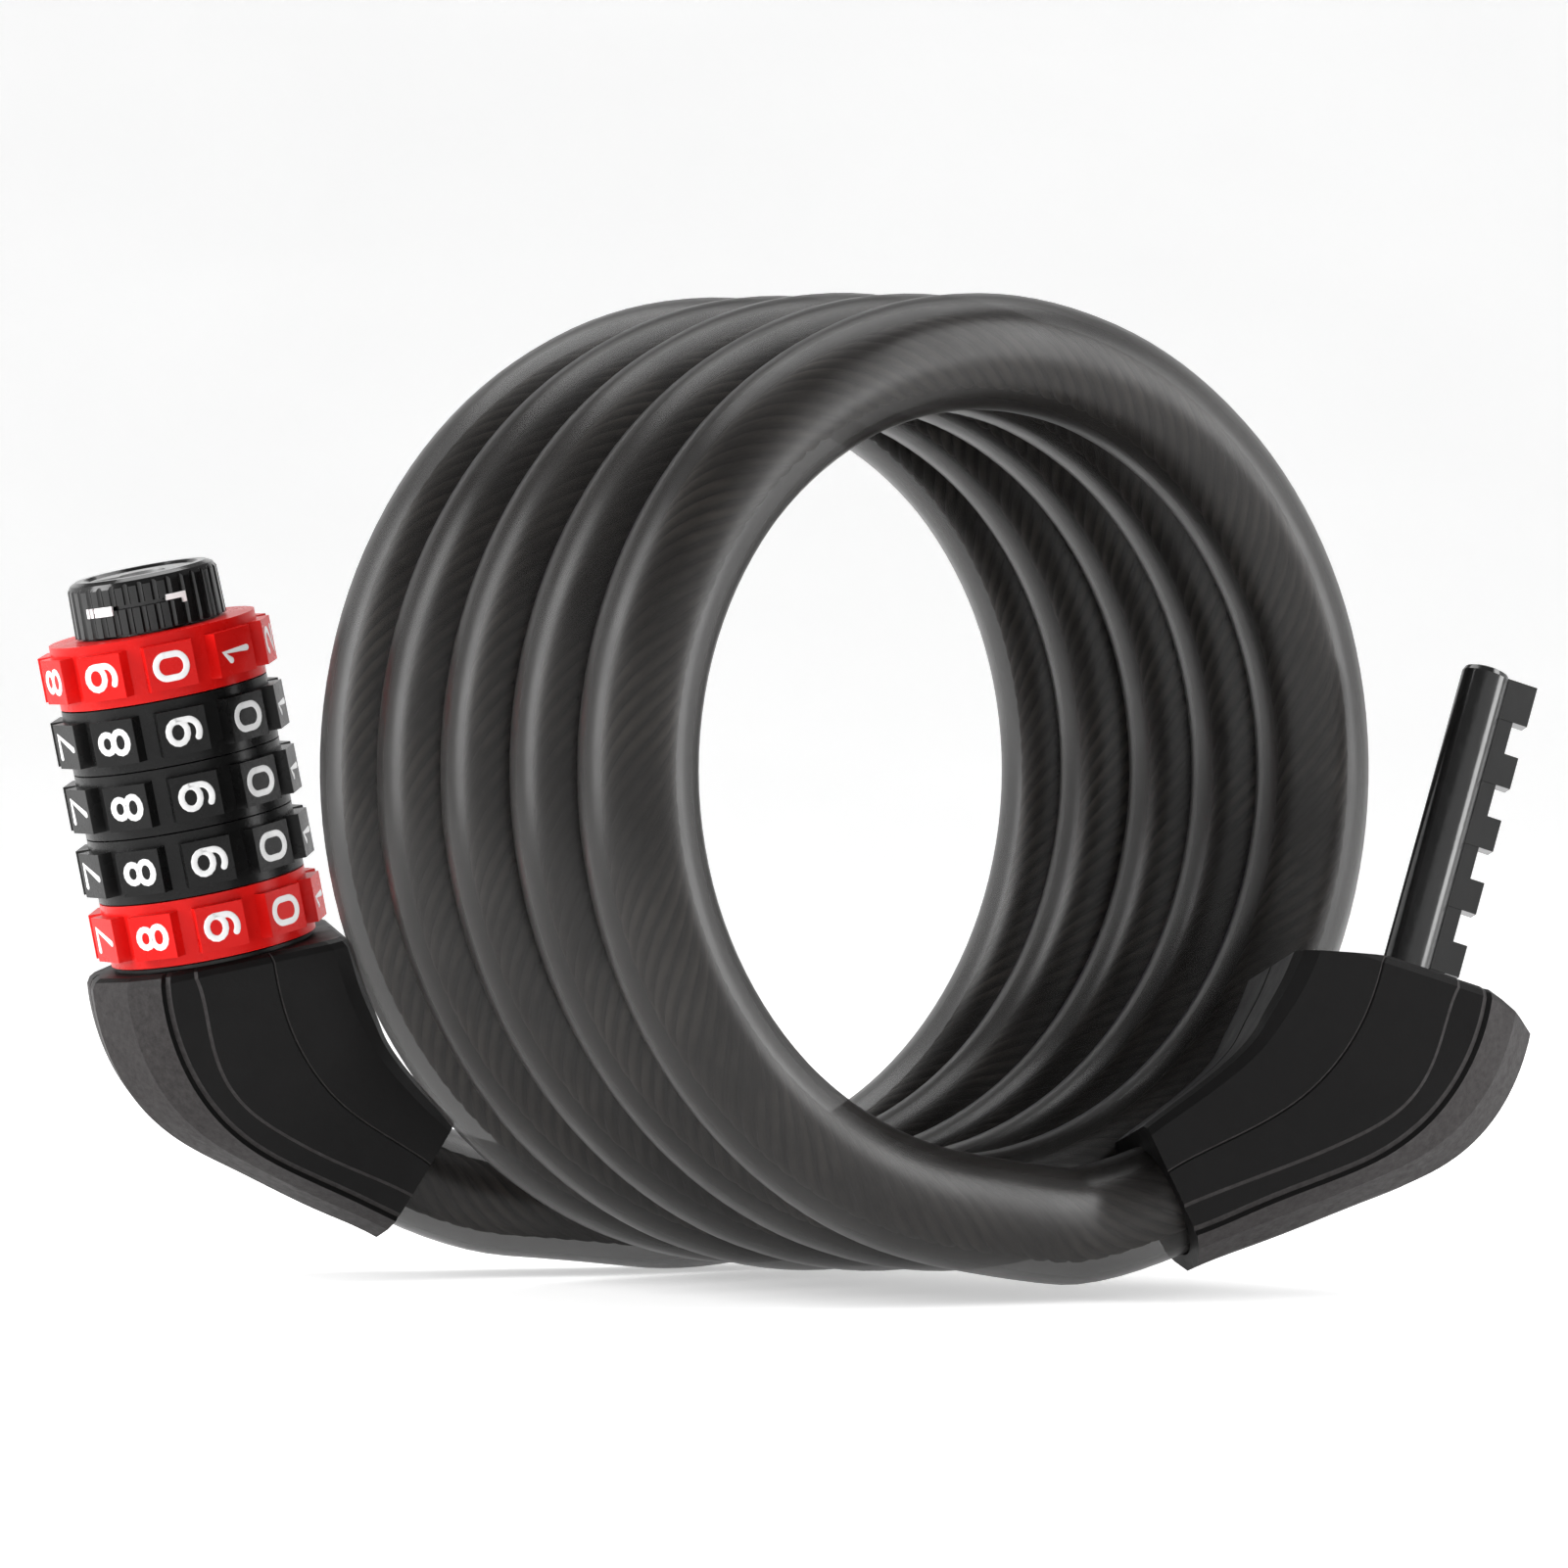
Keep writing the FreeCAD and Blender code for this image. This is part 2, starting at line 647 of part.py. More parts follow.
def end_fittings(elbow, prefix, placement):
    """The crimped ferrule on the cable's end and the pin that holds it in the elbow."""
    ferrule = Part.makeCylinder(dim("ferrule_radius"), dim("ferrule_length"),
                                elbow.mouth(dim("cable_entry") + dim("ferrule_length")), elbow.direction)
    hole = pin_hole(elbow, dim("pin_radius") + dim("pin_play"), dim("pin_length") + 2)
    shaped(prefix + "_ferrule", ferrule.cut(hole), placement)
    shaped(prefix + "_pin", pin_hole(elbow, dim("pin_radius"), dim("pin_length")), placement)


dial_elbow = Elbow(-dim("elbow_top"), dim("dial_elbow_drop"), dim("dial_elbow_leg"))
bolt_elbow = Elbow(0.0, dim("bolt_elbow_drop"), dim("bolt_elbow_leg"))

# both run from under the roof to past the top
barrel_base = Vector(0, 0, -dim("elbow_top") - ROOF - 0.6)
barrel_hole = Part.makeCylinder(dim("head_radius") + 0.1, ROOF + 1.6, barrel_base)
bolt_hole = Part.makeCylinder(dim("bolt_radius") + dim("bolt_play"), ROOF + 3.6, Vector(0, 0, -ROOF - 2.6))


def top_slopes():
    """The two wedges taken off the bolt housing's flat top."""
    wedges = []
    for start, end, drop in TOP_SLOPES:
        far = start + 1.5 * (end - start)
        outline = [(start, 0), (far, -1.5 * drop), (far, 5), (start, 5)]
        corners = [Vector(across, -WEDGE_DEPTH, height) for across, height in outline]
        face = Part.Face(Part.makePolygon(corners + corners[:1]))
        wedges.append(face.extrude(Vector(0, 2 * WEDGE_DEPTH, 0)))
    return wedges


def housing(elbow, label, side, top_hole, placement, wedges=()):
    shell = half_shell(elbow, side)
    for wedge in wedges:
        shell = shell.cut(wedge)
    pin_room = pin_hole(elbow, dim("pin_radius") + dim("pin_play"), dim("pin_length") + 0.1)
    return shaped(label, shell.cut(top_hole).cut(cable_hole(elbow)).cut(pin_room), placement)


housing(dial_elbow, "dial_housing_front", -1, barrel_hole, DIAL_HEAD)
housing(dial_elbow, "dial_housing_rear", 1, barrel_hole, DIAL_HEAD)
housing(bolt_elbow, "bolt_housing_front", 1, bolt_hole, BOLT_HEAD, top_slopes())
housing(bolt_elbow, "bolt_housing_rear", -1, bolt_hole, BOLT_HEAD, top_slopes())
end_fittings(dial_elbow, "dial", DIAL_HEAD)
end_fittings(bolt_elbow, "bolt", BOLT_HEAD)


# ---------------------------------------------------------------- bolt
def bolt():
    """A round rod with a fin along its spine side and five teeth on the fin."""
    body = doc.addObject("PartDesign::Body", "bolt")
    rod_profile = polygon_sketch(body, "bolt_profile", "XZ_Plane", [
        ("0", "0 - bolt_root"),
        ("bolt_radius", "0 - bolt_root"),
        ("bolt_radius", "bolt_length - bolt_tip_round"),
        ("bolt_radius - 0.3 * bolt_tip_round", "bolt_length - 0.3 * bolt_tip_round"),
        ("bolt_radius - bolt_tip_round", "bolt_length"),
        ("0", "bolt_length"),
    ])
    revolve(body, "bolt_rod", rod_profile)
    doc.recompute()
    fin_sketch = polygon_sketch(body, "bolt_fin_sketch", "XZ_Plane", [
        ("0", "fin_base"),
        ("0", "bolt_length - fin_stop"),
        ("0 - fin_reach", "bolt_length - fin_stop"),
        ("0 - fin_reach", "fin_base"),
    ])
    pad(body, "bolt_fin", fin_sketch, "fin_thick")
    tooth_sketch = polygon_sketch(body, "bolt_tooth_sketch", "XZ_Plane", [
        ("0", "tooth_first"),
        ("0", "tooth_first + tooth_length"),
        ("0 - tooth_reach", "tooth_first + tooth_length"),
        ("0 - tooth_reach", "tooth_first"),
    ])
    tooth = pad(body, "bolt_tooth", tooth_sketch, "tooth_thick")
    row = body.newObject("PartDesign::LinearPattern", "bolt_teeth")
    row.Originals = [tooth]
    row.Direction = (origin_plane(body, "Z_Axis"), [""])
    bind(row, Length="4 * dial_pitch", Occurrences="5")
    body.Tip = row
    doc.recompute()
    tip_sketch = polygon_sketch(body, "bolt_tip_tooth_sketch", "XZ_Plane", [
        ("0", "tooth_first + 4 * dial_pitch"),
        ("0", "tooth_first + 4 * dial_pitch + tip_tooth_length"),
        ("0 - tooth_reach", "tooth_first + 4 * dial_pitch + tip_tooth_length"),
        ("0 - tooth_reach", "tooth_first + 4 * dial_pitch"),
    ])
    pad(body, "bolt_tip_tooth", tip_sketch, "tooth_thick")
    return sub_part(body, "bolt", BOLT_HEAD)


def bolt_anchor():
    """The block moulded round the bolt's root."""
    outer = cylinder("bolt_anchor_outer", "root_block_radius", "root_block_height", "0 - bolt_root")
    inner = cylinder("bolt_anchor_bore", "bolt_radius + bolt_play", "root_block_height + 1",
                     "0 - bolt_root - 0.5")
    return sub_part(cut("bolt_anchor", outer, inner), "bolt_anchor", BOLT_HEAD)


bolt()
bolt_anchor()


# ---------------------------------------------------------------- cable
def cable():
    """The coil as one hollow cylinder, and the two tails that run from it into the elbows."""
    radius = dim("cable_diameter") / 2
    mean = dim("coil_radius")
    middle = Vector(dim("coil_x"), dim("coil_front"), dim("coil_z")) + SHIFT
    length = dim("coil_back") - dim("coil_front")
    along = Vector(0, 1, 0)
    coil = Part.makeCylinder(mean + radius, length, middle, along)
    coil = coil.cut(Part.makeCylinder(mean - radius, length, middle, along))
    shaped("cable_coil", coil)

    dial_end = DIAL_HEAD.multVec(dial_elbow.mouth(dim("cable_entry")))
    dial_way = DIAL_HEAD.Rotation.multVec(dial_elbow.direction)
    bolt_end = BOLT_HEAD.multVec(bolt_elbow.mouth(dim("cable_entry")))
    bolt_way = BOLT_HEAD.Rotation.multVec(bolt_elbow.direction)
    shaped("cable_tail_dial", tube([
        dial_end,
        dial_end + dial_way * dim("dial_lead"),
        Vector(-10.5, 60.5, -46.5) + SHIFT,
        Vector(3.0, 57.0, -46.4) + SHIFT,
    ], radius))
    shaped("cable_tail_bolt", tube([
        bolt_end,
        bolt_end + bolt_way * dim("bolt_lead"),
        Vector(-3.0, -2.4, -44.6) + SHIFT,
    ], radius))


cable()

# ---------------------------------------------------------------- check and write
doc.recompute()
for thing in doc.Objects:
    if {"Invalid", "Error"} & set(thing.State):
        raise RuntimeError(f"{thing.Name} did not compute: {thing.State}")
for thing in SUB_PARTS:
    if thing.Shape.isNull() or not thing.Shape.isValid() or thing.Shape.Volume <= 0:
        raise RuntimeError(f"{thing.Label} has no valid shape")
for thing in SUB_PARTS:
    thing.Shape.exportStep(os.path.join("parts", thing.Label + ".step"))
    box = thing.Shape.BoundBox
    print(f"{thing.Label}: {len(thing.Shape.Solids)} solid, {thing.Shape.Volume:.1f} mm3, "
          f"z {box.ZMin:.2f} to {box.ZMax:.2f}")
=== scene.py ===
import json
import math

import bmesh
import bpy
from mathutils import Euler, Matrix, Vector


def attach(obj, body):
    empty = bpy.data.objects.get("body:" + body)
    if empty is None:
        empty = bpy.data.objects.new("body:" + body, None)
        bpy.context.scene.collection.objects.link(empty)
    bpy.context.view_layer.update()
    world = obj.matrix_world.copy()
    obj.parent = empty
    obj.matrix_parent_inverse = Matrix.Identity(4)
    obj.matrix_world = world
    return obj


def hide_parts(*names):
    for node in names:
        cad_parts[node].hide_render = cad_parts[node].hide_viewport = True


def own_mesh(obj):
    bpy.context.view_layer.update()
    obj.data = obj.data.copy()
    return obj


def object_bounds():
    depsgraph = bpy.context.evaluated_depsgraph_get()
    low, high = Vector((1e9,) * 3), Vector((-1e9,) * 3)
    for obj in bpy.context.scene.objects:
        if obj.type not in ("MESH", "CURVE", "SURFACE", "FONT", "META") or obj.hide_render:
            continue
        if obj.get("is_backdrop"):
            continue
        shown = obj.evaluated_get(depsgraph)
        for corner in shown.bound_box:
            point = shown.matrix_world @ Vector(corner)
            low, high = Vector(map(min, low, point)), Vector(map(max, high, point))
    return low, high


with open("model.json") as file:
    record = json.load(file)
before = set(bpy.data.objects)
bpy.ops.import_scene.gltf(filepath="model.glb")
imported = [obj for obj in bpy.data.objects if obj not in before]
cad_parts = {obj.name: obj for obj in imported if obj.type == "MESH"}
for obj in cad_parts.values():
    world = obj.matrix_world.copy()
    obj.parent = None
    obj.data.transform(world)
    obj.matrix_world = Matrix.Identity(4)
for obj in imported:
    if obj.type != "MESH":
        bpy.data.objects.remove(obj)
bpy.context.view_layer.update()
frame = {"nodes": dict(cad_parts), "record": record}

MM = 0.001

# The heads and the coil are laid out about the front of the coil's axis, then shifted to the frame's origin.
SHIFT = Vector((3.06, -30.82, 12.97))


def place(x, y, z):
    """A point of the layout, in millimetres, as a point of the frame in metres."""
    return (Vector((x, y, z)) + SHIFT) * MM


def head_matrix(base, yaw, pitch, roll):
    """A head's own frame: z along its axis, +x towards its cable."""
    turn = (Matrix.Rotation(math.radians(yaw), 4, "Z") @ Matrix.Rotation(math.radians(pitch), 4, "Y")
            @ Matrix.Rotation(math.radians(roll), 4, "X"))
    return Matrix.Translation(place(*base)) @ turn


DIAL_HEAD = head_matrix(base=(-51.44, 75.09, -0.31), yaw=-25.0, pitch=-11.5, roll=5.0)
BOLT_HEAD = head_matrix(base=(43.6, -13.2, -20.9), yaw=152.0, pitch=-18.0, roll=11.0)


# ---------------------------------------------------------------- camera
# The distance and the width seen there are in metres; the sideways offset of the aim is in millimetres.
VIEW_TURN = math.radians(35.0)
VIEW_DISTANCE = 0.700
VIEW_WIDTH = 0.1601
VIEW_OFFSET = 21.0


def make_camera():
    """Level camera, turned 35 degrees from the coil's axis, aimed a little left of the coil's front."""
    right = Vector((math.cos(VIEW_TURN), -math.sin(VIEW_TURN), 0))
    ahead = Vector((math.sin(VIEW_TURN), math.cos(VIEW_TURN), 0))
    aim = place(0, 0, 0) - right * VIEW_OFFSET * MM
    data = bpy.data.cameras.new("camera")
    data.sensor_width = 36.0
    data.lens = data.sensor_width * VIEW_DISTANCE / VIEW_WIDTH
    data.clip_start = 0.01
    data.clip_end = 20.0
    camera = bpy.data.objects.new("camera", data)
    bpy.context.collection.objects.link(camera)
    camera.location = aim - ahead * VIEW_DISTANCE
    camera.rotation_euler = Euler((math.pi / 2, 0, -VIEW_TURN))
    bpy.context.scene.camera = camera


make_camera()


# ---------------------------------------------------------------- node helpers
class Shader:
    """A Principled material and short ways to add the nodes that drive it."""

    def __init__(self, name, **sockets):
        self.material = bpy.data.materials.new(name)
        self.material.use_nodes = True
        self.nodes = self.material.node_tree.nodes
        self.links = self.material.node_tree.links
        self.surface = self.nodes["Principled BSDF"]
        for socket, value in sockets.items():
            self.surface.inputs[socket.replace("_", " ")].default_value = value

    def node(self, kind, **settings):
        """A new node; each setting is one of its sockets, or else one of its own properties."""
        made = self.nodes.new(kind)
        for key, value in settings.items():
            if key in made.inputs:
                made.inputs[key].default_value = value
            else:
                setattr(made, key, value)
        return made

    def noise(self, scale, detail=3.0, stretch=None, roughness=0.5):
        """Noise over the piece's own space, drawn out along an axis where stretch says."""
        texture = self.node("ShaderNodeTexNoise", Scale=scale, Detail=detail, Roughness=roughness)
        source = self.node("ShaderNodeTexCoord").outputs["Object"]
        if stretch:
            mapping = self.node("ShaderNodeMapping")
            mapping.inputs["Scale"].default_value = stretch
            self.links.new(source, mapping.inputs["Vector"])
            source = mapping.outputs["Vector"]
        self.links.new(source, texture.inputs["Vector"])
        return texture.outputs["Fac"]

    def ramp(self, factor, low, high, start=0.3, end=0.7):
        """Two colours or two greys, by a factor."""
        ramp = self.node("ShaderNodeValToRGB")
        ramp.color_ramp.elements[0].position = start
        ramp.color_ramp.elements[1].position = end
        ramp.color_ramp.elements[0].color = colour(low)
        ramp.color_ramp.elements[1].color = colour(high)
        self.links.new(factor, ramp.inputs["Fac"])
        return ramp.outputs["Color"]

    def mix(self, factor, low, high):
        mixer = self.node("ShaderNodeMix", data_type="RGBA")
        self.links.new(factor, mixer.inputs["Factor"])
        self.links.new(low, mixer.inputs["A"])
        self.links.new(high, mixer.inputs["B"])
        return mixer.outputs["Result"]

    def dot(self, vector, axis):
        product = self.node("ShaderNodeVectorMath", operation="DOT_PRODUCT")
        self.links.new(vector, product.inputs[0])
        product.inputs[1].default_value = axis
        return product.outputs["Value"]

    def math(self, operation, *sources):
        step = self.node("ShaderNodeMath", operation=operation)
        for socket, source in zip(step.inputs, sources):
            self.links.new(source, socket)
        return step.outputs["Value"]

    def spread(self, value, nothing, everything):
        """0 to 1 between two values."""
        reach = self.node("ShaderNodeMapRange")
        reach.inputs["From Min"].default_value = nothing
        reach.inputs["From Max"].default_value = everything
        self.links.new(value, reach.inputs["Value"])
        return reach.outputs["Result"]

    def drive(self, socket, source):
        self.links.new(source, self.surface.inputs[socket])

    def bump(self, *layers):
        """Heights stacked one on the other, each a factor and a depth in metres."""
        last = None
        for height, depth in layers:
            bump = self.node("ShaderNodeBump", Distance=depth)
            self.links.new(height, bump.inputs["Height"])
            if last:
                self.links.new(last, bump.inputs["Normal"])
            last = bump.outputs["Normal"]
        self.drive("Normal", last)


def colour(value):
    """A grey or a colour, with full alpha."""
    if isinstance(value, (int, float)):
        return (value, value, value, 1.0)
    return (*value, 1.0)


# ---------------------------------------------------------------- materials
def moulded_plastic(name, dark, light, smooth, rough, grain, sheen):
    """Injection moulded plastic: faint flow tone, handling marks in the gloss, fine tool grain."""
    shader = Shader(name, Specular_IOR_Level=sheen)
    shader.drive("Base Color", shader.ramp(shader.noise(90, 4), dark, light))
    shader.drive("Roughness", shader.ramp(shader.noise(260, 5, roughness=0.65), smooth, rough))
    shader.bump((shader.noise(2600, 2), grain), (shader.noise(120, 2), grain * 2))
    return shader.material


def housing_plastic(name, head):
    """Soft black shell plastic: near-black face, paler and grainier where it turns to the spine's bevel."""
    shader = Shader(name, Specular_IOR_Level=0.12)
    face = shader.ramp(shader.noise(70, 3), (0.0050, 0.0048, 0.0048), (0.0070, 0.0067, 0.0067))
    bevel = shader.ramp(shader.noise(1300, 5, roughness=0.75), (0.020, 0.018, 0.018), (0.042, 0.039, 0.039))
    mask = bevel_mask(shader, head)
    shader.drive("Base Color", shader.mix(mask, face, bevel))
    smooth = shader.ramp(shader.noise(320, 4), 0.40, 0.50)
    rough = shader.ramp(shader.noise(900, 4), 0.48, 0.62)
    shader.drive("Roughness", shader.mix(mask, smooth, rough))
    shader.bump((shader.noise(2400, 3, roughness=0.7), 0.00003), (shader.noise(300, 2), 0.00002))
    return shader.material


# In a head's own frame: the way its flat faces look, and the way its spine looks.
FACE_WAY = Vector((0, 1, 0))
SPINE_WAY = Vector((-0.90, 0, -0.44))
# How squarely a surface faces each way where the bevel's look starts, and where it is complete.
FACE_FADE = (0.97, 0.88)
SPINE_FADE = (0.15, 0.35)


def bevel_mask(shader, head):
    """1 where the surface leans from the head's flat face towards its spine, 0 on the face and inner side."""
    normal = shader.node("ShaderNodeTexCoord").outputs["Normal"]
    turn = head.to_3x3()
    flatness = shader.math("ABSOLUTE", shader.dot(normal, turn @ FACE_WAY))
    towards_spine = shader.dot(normal, turn @ SPINE_WAY)
    lean = shader.spread(flatness, *FACE_FADE)
    return shader.math("MULTIPLY", lean, shader.spread(towards_spine, *SPINE_FADE))


def metal(name, dark, light, smooth, rough, grain=0.00002, stretch=None):
    """Bare metal with a faint mottle, drawn out along an axis where stretch says."""
    shader = Shader(name, Metallic=1.0)
    shader.drive("Base Color", shader.ramp(shader.noise(160, 4, stretch), dark, light))
    shader.drive("Roughness", shader.ramp(shader.noise(700, 4, stretch), smooth, rough))
    shader.bump((shader.noise(1500, 3, stretch), grain))
    return shader.material


def bolt_coat():
    """Deep gloss black coat over the steel bolt, with faint insertion scuffs."""
    shader = Shader("bolt_gloss_black", Specular_IOR_Level=0.6)
    shader.drive("Base Color", shader.ramp(shader.noise(200, 4), 0.0045, 0.008))
    scuffs = shader.noise(1400, 5, stretch=(1.0, 1.0, 0.08), roughness=0.7)
    shader.drive("Roughness", shader.ramp(scuffs, 0.14, 0.30, start=0.45, end=0.85))
    shader.bump((shader.noise(500, 3), 0.000012))
    return shader.material


def sheath_vinyl():
    """Smoky clear vinyl: the strand shows through it, under a soft waxy gloss."""
    shader = Shader("sheath_smoky_vinyl", IOR=1.5, Specular_IOR_Level=0.34, Alpha=0.78)
    cloud = shader.noise(60, 2)
    shader.drive("Base Color", shader.ramp(cloud, (0.0115, 0.0104, 0.0097), (0.0160, 0.0146, 0.0137)))
    shader.drive("Roughness", shader.ramp(shader.noise(200, 2), 0.30, 0.36))
    shader.bump((shader.noise(150, 2), 0.00004))
    return shader.material


def strand_steel():
    """Twisted steel wires, with painted light: a painted highlight on their crowns in random patches, and
    brown-black painted shade in the valleys between them.
    """
    shader = Shader("strand_steel", Metallic=0.2, Specular_IOR_Level=0.3)
    crown = shader.node("ShaderNodeAttribute", attribute_name="crown").outputs["Fac"]
    # Painted shade for the valleys between the wires, a painted highlight for the wires' crowns, and noise
    # patches that decide where a crown gets that highlight.
    valley_shade = shader.ramp(shader.noise(300, 2), (0.003, 0.002, 0.0015), (0.010, 0.007, 0.005))
    lit_wire = shader.ramp(shader.noise(130, 2), (0.050, 0.041, 0.033), (0.24, 0.205, 0.172))
    highlight_patches = shader.spread(shader.noise(75, 3), 0.38, 0.60)
    shader.drive("Base Color", shader.mix(shader.math("MULTIPLY", crown, highlight_patches), valley_shade, lit_wire))
    shader.drive("Roughness", shader.ramp(shader.noise(400, 2), 0.45, 0.6))
    return shader.material


def numeral_paint():
    """White paint, slightly uneven."""
    shader = Shader("numeral_white", Specular_IOR_Level=0.4)
    shader.drive("Base Color", shader.ramp(shader.noise(500, 3), 0.80, 0.90))
    shader.drive("Roughness", shader.ramp(shader.noise(900, 3), 0.38, 0.52))
    shader.bump((shader.noise(3000, 2), 0.00001))
    return shader.material


MATERIALS = {
    "dial_red": moulded_plastic("dial_red", dark=(0.58, 0.007, 0.006), light=(0.68, 0.010, 0.008),
                                smooth=0.24, rough=0.34, grain=0.00001, sheen=0.12),
    "dial_black": moulded_plastic("dial_black", dark=0.0055, light=0.0085,
                                  smooth=0.22, rough=0.34, grain=0.000012, sheen=0.16),
    "knob_black": moulded_plastic("knob_black", dark=0.003, light=0.005,
                                  smooth=0.12, rough=0.20, grain=0.000008, sheen=0.45),
    "bolt_black": bolt_coat(),
    "zinc": metal("zinc_cast", dark=0.32, light=0.46, smooth=0.38, rough=0.54),
    "steel": metal("steel_drawn", dark=0.50, light=0.66, smooth=0.22, rough=0.36,
                   grain=0.00001, stretch=(1.0, 1.0, 0.1)),
    "cable_sheath": sheath_vinyl(),
}
HOUSINGS = {
    "dial": housing_plastic("housing_dial", DIAL_HEAD),
    "bolt": housing_plastic("housing_bolt", BOLT_HEAD),
}
BLUED_STEEL = metal("steel_blued", dark=0.02, light=0.04, smooth=0.35, rough=0.5)
STRAND = strand_steel()
NUMERAL = numeral_paint()


def finish_cad_nodes():
    """Give every CAD node its slot's material; a housing takes its own head's, and the washer is blued."""
    for entry in frame["record"]["subparts"]:
        node = frame["nodes"][entry["node"]]
        material = MATERIALS.get(entry["material_slot"]) or HOUSINGS[entry["node"].split("_")[0]]
        if entry["node"] == "end_washer":
            material = BLUED_STEEL
        if not node.material_slots:
            node.data.materials.append(material)
        for slot in node.material_slots:
            slot.material = material


finish_cad_nodes()


# ---------------------------------------------------------------- piece helpers
def piece(name, mesh, body, material, smooth=True):
    """A new mesh piece of one material, on its body."""
    thing = bpy.data.objects.new(name, mesh)
    bpy.context.collection.objects.link(thing)
    thing.data.materials.append(material)
    if smooth:
        mesh.polygons.foreach_set("use_smooth", [True] * len(mesh.polygons))
    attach(thing, body)
    return thing


# ---------------------------------------------------------------- reset spring
def make_spring():
    """The reset spring as a steel copy of its CAD mesh; on the real lock it shortens towards the barrel
    anchor as the core slides out.
    """
    node = frame["nodes"]["reset_spring"]
    axis = DIAL_HEAD.to_3x3() @ Vector((0, 0, 1))
    heights = [vertex.co.dot(axis) for vertex in node.data.vertices]
    middle = DIAL_HEAD.translation
    fixed_end = middle + axis * (max(heights) - middle.dot(axis))
    mesh = node.data.copy()
    mesh.materials.clear()
    spring = piece("spring_coil", mesh, "root", MATERIALS["steel"])
    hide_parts("reset_spring")
    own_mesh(spring)


make_spring()


# ---------------------------------------------------------------- cable
# Millimetres, except the cable's own length and the strand's sizes and mesh step, which are in metres.
CABLE_RADIUS = 6.0
TURNS = 5
POINTS_PER_TURN = 16
# A NURBS of order 3 with 16 points a turn runs inside its control points by this ratio.
SPLINE_PULL = 0.981
# From one turn to the next along the coil's axis, and where the first turn starts.
PITCH = 12.1
START_Y = 57.3
# Half width and half height of the loop, and its middle, at the back and at the front.
LOOP_BACK = {"wide": 47.0, "tall": 46.8, "x": 2.8, "z": 0.4}
LOOP_FRONT = {"wide": 45.2, "tall": 44.0, "x": 1.9, "z": 0.1}
# How much wider or narrower each turn is than a steady taper, from the back to the front.
TURN_UNEVEN = (0.2, -0.7, 0.5, 0.2, -0.2, 0.0)
# How much of that unevenness the turn's height takes.
UNEVEN_TALL = 0.5
# Wires round the strand, its radius, the depth of the valleys, and the length of one full twist.
STRAND_WIRES = 12
STRAND_RADIUS = 0.0038
STRAND_DIP = 0.0007
STRAND_LAY = 0.027
# The mesh's step along the strand, and its corners round it.
STRAND_STEP = 0.0012
STRAND_CORNERS = 72
# Powers that shape a wire's flank, and how fast the painted highlight on its crown fades into the painted
# shade of the valley.
FLANK_POWER = 1.6
CROWN_POWER = 1.5


def blend_between(key, share):
    """One of the loop's measures, part of the way from the back to the front."""
    return LOOP_BACK[key] + (LOOP_FRONT[key] - LOOP_BACK[key]) * share


def coil_point(step):
    """A control point of the coil; step 0 is the bottom at the back, rising on the +x side."""
    turn = step / POINTS_PER_TURN
    share = turn / TURNS
    angle = 2 * math.pi * turn
    whole = min(int(turn), TURNS - 1)
    uneven = TURN_UNEVEN[whole] + (TURN_UNEVEN[whole + 1] - TURN_UNEVEN[whole]) * (turn - whole)
    wide = (blend_between("wide", share) + uneven) / SPLINE_PULL
    tall = (blend_between("tall", share) + UNEVEN_TALL * uneven) / SPLINE_PULL
    return place(blend_between("x", share) + wide * math.sin(angle), START_Y - PITCH * turn,
                 blend_between("z", share) - tall * math.cos(angle))


def cable_route():
    """Out of the dial elbow, five turns coming forward, and into the bolt elbow."""
    dial_tail = [(-32.03, 70.08, -39.04), (-23.17, 66.66, -44.59), (-10.5, 60.6, -45.7)]
    bolt_tail = [(11.6, -3.6, -45.7), (22.83, -7.70, -40.57)]
    route = [place(*point) for point in dial_tail]
    route += [coil_point(step) for step in range(TURNS * POINTS_PER_TURN + 1)]
    route += [place(*point) for point in bolt_tail]
    return route


def spline_curve(name, points, bevel):
    """A smooth round tube, or with no bevel a bare line, led by its control points."""
    data = bpy.data.curves.new(name, "CURVE")
    data.dimensions = "3D"
    data.bevel_depth = bevel
    data.bevel_resolution = 10
    data.use_fill_caps = True
    data.resolution_u = 8
    spline = data.splines.new("NURBS")
    spline.points.add(len(points) - 1)
    for control, point in zip(spline.points, points):
        control.co = (*point, 1.0)
    spline.order_u = 3
    spline.use_endpoint_u = True
    return data


def route_points(route):
    """Points along the route's own spline."""
    probe = bpy.data.objects.new("probe", spline_curve("probe", route, 0.0))
    bpy.context.collection.objects.link(probe)
    mesh = bpy.data.meshes.new_from_object(probe)
    points = [vertex.co.copy() for vertex in mesh.vertices]
    bpy.data.objects.remove(probe)
    return points


def even_points(points, spacing):
    """The same line cut into equal steps."""
    marks = [0.0]
    for a, b in zip(points, points[1:]):
        marks.append(marks[-1] + (b - a).length)
    count = round(marks[-1] / spacing)
    even, index = [], 0
    for step in range(count + 1):
        goal = marks[-1] * step / count
        while index < len(marks) - 2 and marks[index + 1] < goal:
            index += 1
        share = (goal - marks[index]) / (marks[index + 1] - marks[index])
        even.append(points[index].lerp(points[index + 1], share))
    return even


